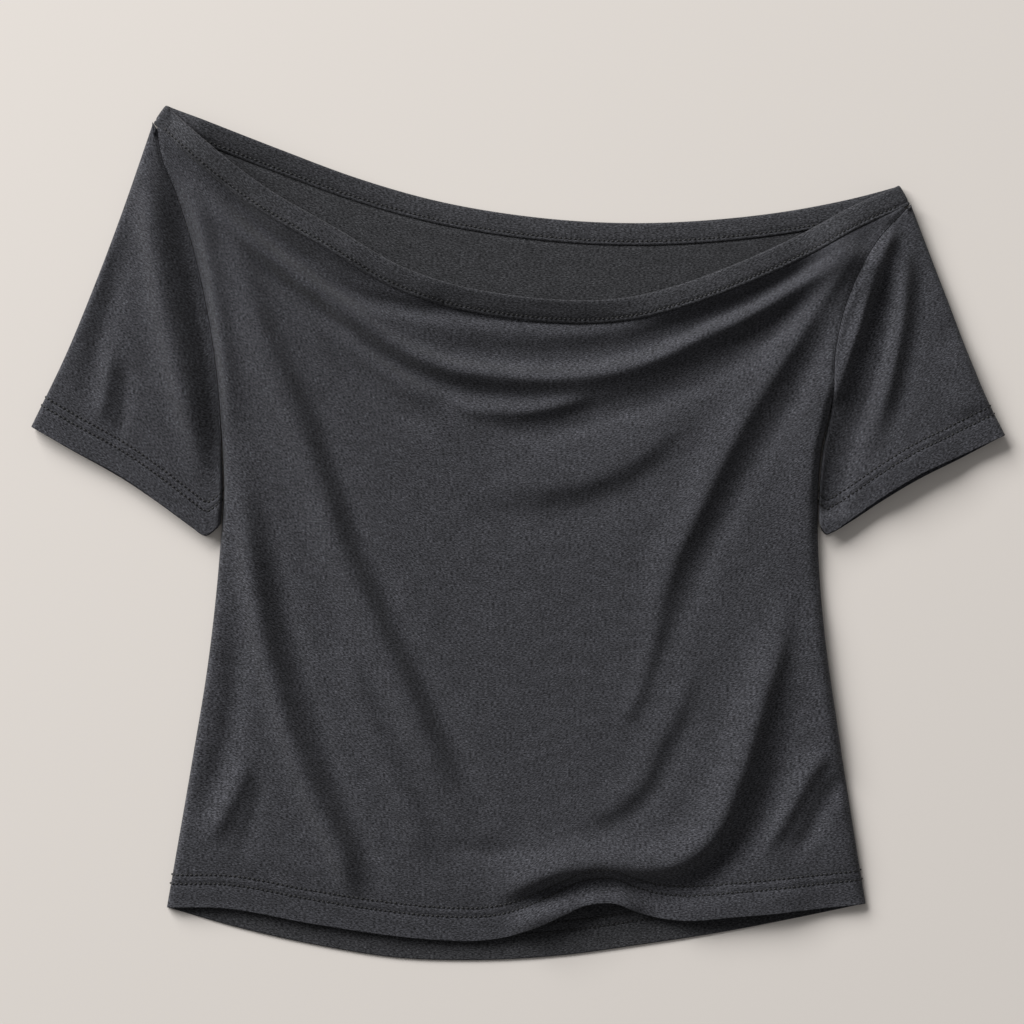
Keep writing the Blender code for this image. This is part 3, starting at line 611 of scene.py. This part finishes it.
# Sleeves. Each is a short tube pressed flat, set in at the armhole and closed by a seam
# along the underarm fold. The cuff is turned up and held by two rows of stitches.
# armpit is the height where the underarm seam starts, and shown is how far the back of the
# cuff reaches past its front
Sleeve = namedtuple("Sleeve", "outer side outward armpit shown cuff")
SLEEVE_CLEAR = 0.4
SLEEVE_ROWS, SLEEVE_COLUMNS = 74, 96
SLEEVES = {
    "sleeve_left": Sleeve(
        outer=(TIP_LEFT, (-252, 223), (-274, 164), (-295.5, 112), (-308, 86), (-316.3, 69)),
        side=left_side, outward=-1, armpit=57, shown=1.2,
        cuff=(
            (-316.3, 69), (-298, 58), (-254, 33), (-230, 16.5), (-210, 1.8), (-205, -1.6),
            (-202.5, -2), (-200, -0.5), (-193, 6),
        ),
    ),
    "sleeve_right": Sleeve(
        outer=(TIP_RIGHT, (264, 190), (279, 151), (294, 112), (305, 86), (316.3, 63.5)),
        side=right_side, outward=1, armpit=78, shown=2.6,
        cuff=(
            (316.3, 63.5), (287, 48), (261, 35), (235, 19.5), (216, 7), (204, 0),
            (200.5, -1.2), (198.5, 0.5), (196, 5),
        ),
    ),
}


def close_fold(piece, rings, shape):
    """Joins the two long borders of a wall along the given rings."""
    count = shape[0] * shape[1]
    shell = bmesh.new()
    shell.from_mesh(piece.data)
    shell.verts.ensure_lookup_table()
    seam = {}
    for ring in rings:
        for side in (0, count):
            first = side + ring * shape[1]
            seam[shell.verts[first]] = shell.verts[first + shape[1] - 1]
    ends = set(seam.values())
    rim = [face for face in shell.faces
           if all(v in seam for v in face.verts) or all(v in ends for v in face.verts)]
    bmesh.ops.delete(shell, geom=rim, context="FACES")
    bmesh.ops.weld_verts(shell, targetmap=seam)
    shell.to_mesh(piece.data)
    shell.free()


def sleeve_tube(name, cut):
    """The wall of a sleeve, from the front of its armhole seam round to the back of it."""
    side = beside(cut.side, cut.outward * SLEEVE_CLEAR)
    outer, cuff = smooth(cut.outer), smooth(cut.cuff)
    inner = np.vstack([side[side[:, 1] > cuff[-1][1] + 1], cuff[-1:]])
    tip = np.linspace(outer[0], inner[0], 4)
    s_mean = np.linspace(0, 1, 1 + SLEEVE_ROWS + len(HEM_STEPS))
    radius = (LEVEL_BASE + AIR) / 2
    ring_length = np.linalg.norm(along(inner, s_mean) - along(outer, s_mean), axis=-1)
    t = stations(ring_length, round_steps(radius, 6), round_steps(radius, 6), SLEEVE_COLUMNS)
    t_mean = t.mean(axis=0)
    fall = np.linalg.norm(along(cuff, t_mean) - along(tip, t_mean), axis=-1)
    s = stations(fall, (0.0,), HEM_STEPS, SLEEVE_ROWS).T
    plan = patch(tip, cuff, outer, inner, t, s)
    above = (1 - s) * fall
    turned = 1 - soft_step(above, HEM_DEPTH, HEM_DEPTH + HEM_STEP)
    level = front_level(plan) + HEM_EXTRA * turned
    for row in STITCH_ROWS:
        level += groove(above - row, *STITCH_GROOVE)
    from_outer = np.linalg.norm(plan - plan[:, :1], axis=-1)
    from_under = np.linalg.norm(plan - plan[:, -1:], axis=-1)
    closed = plan[:, -1, 1] < cut.armpit
    level[~closed] += groove(from_under, *ARMHOLE_GROOVE)[~closed]
    full = arc_share(from_outer, level / 2)
    full[closed] *= arc_share(from_under, level / 2)[closed]
    down = np.gradient(plan, axis=0)
    down /= np.linalg.norm(down, axis=-1, keepdims=True)
    drawn_back = cut.shown * np.sin(math.pi * t) * (1 - soft_step(above, 0, 30))
    front = np.dstack([plan - drawn_back[..., None] * down, level / 2 * (1 + full)])
    back = np.dstack([plan, level / 2 * (1 - full)])

    across = np.gradient(plan, axis=1)
    across /= np.linalg.norm(across, axis=-1, keepdims=True)
    across = np.concatenate([across[:, ::-1], across[:, 1:]], axis=1)
    outside = np.concatenate([front[:, ::-1], back[:, 1:]], axis=1)
    chord = np.array([np.gradient(ring, lengths(ring), axis=0) for ring in outside])
    run, rise = (chord[..., :2] * across).sum(-1), chord[..., 2]
    run[:, 0], rise[:, 0] = -1, 0
    run[:, -1], rise[:, -1] = 1, 0
    run[closed, 0], rise[closed, 0] = 0, 1
    run[closed, -1], rise[closed, -1] = 0, 1
    size = np.hypot(run, rise)
    inside = outside.copy()
    inside[..., :2] -= CLOTH * (rise / size)[..., None] * across
    inside[..., 2] += CLOTH * run / size
    grain = grain_map(plan)
    grain = np.concatenate([grain[:, ::-1], grain[:, 1:]], axis=1)
    if cut.outward < 0:
        outside, inside, grain = outside[:, ::-1], inside[:, ::-1], grain[:, ::-1]
    piece = wall_object(name + "_cloth", outside, inside, grain, jersey_cloth)
    close_fold(piece, np.flatnonzero(closed), outside.shape)
    for k, row in enumerate(STITCH_ROWS):
        stitch_row(f"{name}_stitches_{k}", row_at(front[:, 1:-1], above[:, 1:-1], row), thread_painted_shade)
    return piece


for sleeve_name, sleeve_cut in SLEEVES.items():
    sleeve_piece = sleeve_tube(sleeve_name, sleeve_cut)
    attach(sleeve_piece, "root")
    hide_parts(sleeve_name)

# Neck binding. A strip of the jersey folded over the neck edge all round, a little proud of
# the panels, held by one row of stitches near its seam. It turns over at both shoulder tips.
BAND_THICK = 2.5
BAND_PROUD = 1.1
BAND_MIN_MIDDLE = 5.4
BAND_LOWEST = 0.02
BAND_EASE = 0.06
BACK_LIFT = 6.0
LIFT_RISE = (4, 30)
LIFT_FALL = (50, 190)
BAND_SECTION = (
    (0.0, 0.0), (0.01, 0.45), (0.04, 0.75), (0.1, 0.95), (0.2, 1.05), (0.35, 1.08), (0.5, 1.08),
    (0.64, 1.05), (0.74, 0.95), (0.79, 0.7), (0.82, 0.5), (0.85, 0.7), (0.9, 0.85), (0.96, 0.75),
    (1.0, 0.35), (1.0, -0.5), (0.95, -0.92), (0.88, -0.95), (0.82, -0.6), (0.76, -0.95),
    (0.6, -1.05), (0.4, -1.05), (0.2, -1.0), (0.06, -0.8), (0.01, -0.4),
)
FREE_EDGE, CROWN, FRONT_GROOVE, SEAM_EDGE, BACK_GROOVE = 0, 5, 10, 14, 18
FRONT_STOPS, BACK_STOPS, TURN_STOPS = 460, 300, 12
STITCHED = slice(6, -6)
BINDING_COLOUR = (0.036, 0.037, 0.041)
BINDING_LIGHT = (0.062, 0.063, 0.071)
BINDING_DARK = (0.008, 0.0081, 0.0096)
binding_cloth = jersey("binding", BINDING_COLOUR, BINDING_LIGHT, BINDING_DARK)


def band_loop(upper, lower, way):
    """The binding's cross-section between its two edges."""
    half = BAND_THICK / 2
    return [upper + (lower - upper) * across + way * half * depth for across, depth in BAND_SECTION]


def band_run(points, count, front):
    """Cross-sections of the front or back stretch of the binding."""
    edge = smooth(points)
    run = lengths(edge)[-1]
    inset = ((BAND_MIN_MIDDLE - BAND_THICK / 2) / 2 + BAND_THICK / 2) / run
    share = np.linspace(inset, 1 - inset, count)
    upper = along(edge, share)
    lower = upper - BAND_WIDTH * band_width_way(edge, share)
    ease = soft_step(share, 0, BAND_EASE) * soft_step(1 - share, 0, BAND_EASE)
    if front:
        heights = front_level(np.stack([upper, lower])) + BAND_PROUD - BAND_THICK / 2
        heights = BAND_MIN_MIDDLE + np.maximum(heights - BAND_MIN_MIDDLE, 0) * ease
        way = np.array([0.0, 0.0, 1.0])
    else:
        from_tip = share * run
        lift = soft_step(from_tip, *LIFT_RISE) * (1 - soft_step(from_tip, *LIFT_FALL))
        heights = BAND_THICK / 2 + np.stack([BACK_LIFT * lift, 0 * lift])[:, ::-1]
        way = np.array([0.0, 0.0, -1.0])
        upper, lower = upper[::-1], lower[::-1]
    rails = np.dstack([np.stack([upper, lower]), heights])
    return np.array([band_loop(rails[0, k], rails[1, k], way) for k in range(count)])


def band_turn(before, after, count):
    """Cross-sections of the half turn that joins two stretches at a shoulder tip."""
    radius = (BAND_MIN_MIDDLE - BAND_THICK / 2) / 2
    middle = BAND_THICK / 2 + radius
    ends = [loop[FREE_EDGE] for loop in (before, after)]
    feet = [np.append(loop[SEAM_EDGE][:2], loop[FREE_EDGE][2]) for loop in (before, after)]
    across = ends[0][:2] - feet[0][:2]
    outward = np.array([across[1], -across[0]]) / np.linalg.norm(across)
    if (ends[0][0] > 0) != (outward[0] > 0):
        outward = -outward
    going_down = ends[0][2] > ends[1][2]
    loops = []
    for k in range(1, count + 1):
        share = k / (count + 1)
        angle = math.pi * (share if going_down else 1 - share)
        way = np.array([*(outward * math.sin(angle)), math.cos(angle)])
        rails = []
        for first, last in (ends, feet):
            flat = first[:2] * (1 - share) + last[:2] * share + outward * radius * math.sin(angle)
            rails.append(np.append(flat, middle + radius * math.cos(angle)))
        loops.append(band_loop(rails[0], rails[1], way))
    return np.array(loops)


front_run = band_run(NECK_FRONT, FRONT_STOPS, True)
back_run = band_run(NECK_BACK, BACK_STOPS, False)
band_loops = np.concatenate([
    front_run, band_turn(front_run[-1], back_run[0], TURN_STOPS),
    back_run, band_turn(back_run[-1], front_run[0], TURN_STOPS),
])
band_loops[..., 2] = np.maximum(band_loops[..., 2], BAND_LOWEST)
stops, corners = band_loops.shape[:2]
ring = np.arange(stops * corners).reshape(stops, corners)
ring_next, ring_down = np.roll(ring, -1, axis=1), np.roll(ring, -1, axis=0)
band_faces = np.stack([ring, ring_next, np.roll(ring_next, -1, axis=0), ring_down], axis=-1).reshape(-1, 4)
band_mesh = bpy.data.meshes.new("neck_binding")
band_mesh.from_pydata((band_loops.reshape(-1, 3) * MM).tolist(), [], band_faces.tolist())
band_mesh.polygons.foreach_set("use_smooth", np.ones(len(band_faces), bool))
band_length = lengths(band_loops[:, CROWN])
band_round = lengths(front_run[100])
band_grain = np.stack(np.meshgrid(band_length, band_round, indexing="ij"), axis=-1).reshape(-1, 2)
band_layer = band_mesh.uv_layers.new(name="grain")
band_layer.data.foreach_set("uv", band_grain[band_faces.reshape(-1)].reshape(-1))
band_mesh.materials.append(binding_cloth)
band_mesh.update()
neck_band = bpy.data.objects.new("neck_binding", band_mesh)
bpy.context.scene.collection.objects.link(neck_band)
stitch_row("front_binding_stitches", front_run[STITCHED, FRONT_GROOVE], thread_painted_shade)
stitch_row("back_binding_stitches", back_run[STITCHED, BACK_GROOVE], thread_painted_shade)
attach(neck_band, "root")
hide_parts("neck_band")

# Floor, light and camera. A plain warm off-white surface, one large soft light from the
# upper left, and the camera straight above the middle of the photo.
PIXEL = 0.65
PICTURE = 1024
ORIGIN_PIXEL = (518.15, 532.8)
CAMERA_HEIGHT = 2000.0
FOCUS_HEIGHT = 3.0
SENSOR = 36.0
FLOOR_COLOUR = (0.76, 0.715, 0.675)
FLOOR_REACH = 3
ROOM_STRENGTH = 0.2
LIGHT_DISTANCE = 7.0
LIGHT_TILT = math.radians(27)
LIGHT_HEADING = Vector((0.68, -0.73, 0))
LIGHT_SIZE = (5.6, 3.4)
LIGHT_POWER = 860
MIDDLE = ((PICTURE / 2 - ORIGIN_PIXEL[0]) * PIXEL, (ORIGIN_PIXEL[1] - PICTURE / 2) * PIXEL)

floor_mesh = bpy.data.meshes.new("floor")
floor_corners = [(x * FLOOR_REACH, y * FLOOR_REACH, 0) for x, y in ((-1, -1), (1, -1), (1, 1), (-1, 1))]
floor_mesh.from_pydata(floor_corners, [], [(0, 1, 2, 3)])
floor = bpy.data.objects.new("floor", floor_mesh)
bpy.context.scene.collection.objects.link(floor)
floor_paint = bpy.data.materials.new("floor")
floor_paint.use_nodes = True
floor_shader = floor_paint.node_tree.nodes["Principled BSDF"]
floor_shader.inputs["Base Color"].default_value = (*FLOOR_COLOUR, 1)
floor_shader.inputs["Roughness"].default_value = 0.9
floor_shader.inputs["Specular IOR Level"].default_value = 0.2
floor_mesh.materials.append(floor_paint)

world = bpy.data.worlds.new("room")
bpy.context.scene.world = world
world.use_nodes = True
room = world.node_tree.nodes["Background"]
room.inputs["Color"].default_value = (1.0, 0.99, 0.98, 1)
room.inputs["Strength"].default_value = ROOM_STRENGTH

light_way = LIGHT_HEADING.normalized() * math.cos(LIGHT_TILT)
light_way += Vector((0, 0, -math.sin(LIGHT_TILT)))
key_data = bpy.data.lights.new("key", "AREA")
key_data.shape = "RECTANGLE"
key_data.size, key_data.size_y = LIGHT_SIZE
key_data.energy = LIGHT_POWER
key_data.color = (1.0, 0.995, 0.985)
key = bpy.data.objects.new("key", key_data)
key.location = -light_way * LIGHT_DISTANCE
key.rotation_mode = "QUATERNION"
key.rotation_quaternion = light_way.to_track_quat("-Z", "Y")
bpy.context.scene.collection.objects.link(key)

camera_data = bpy.data.cameras.new("camera")
camera_data.sensor_width = SENSOR
camera_data.lens = SENSOR * (CAMERA_HEIGHT - FOCUS_HEIGHT) / (PICTURE * PIXEL)
camera_data.clip_end = 20.0
camera = bpy.data.objects.new("camera", camera_data)
camera.location = (MIDDLE[0] * MM, MIDDLE[1] * MM, CAMERA_HEIGHT * MM)
bpy.context.scene.collection.objects.link(camera)
bpy.context.scene.camera = camera
bpy.context.scene.view_settings.view_transform = "Standard"
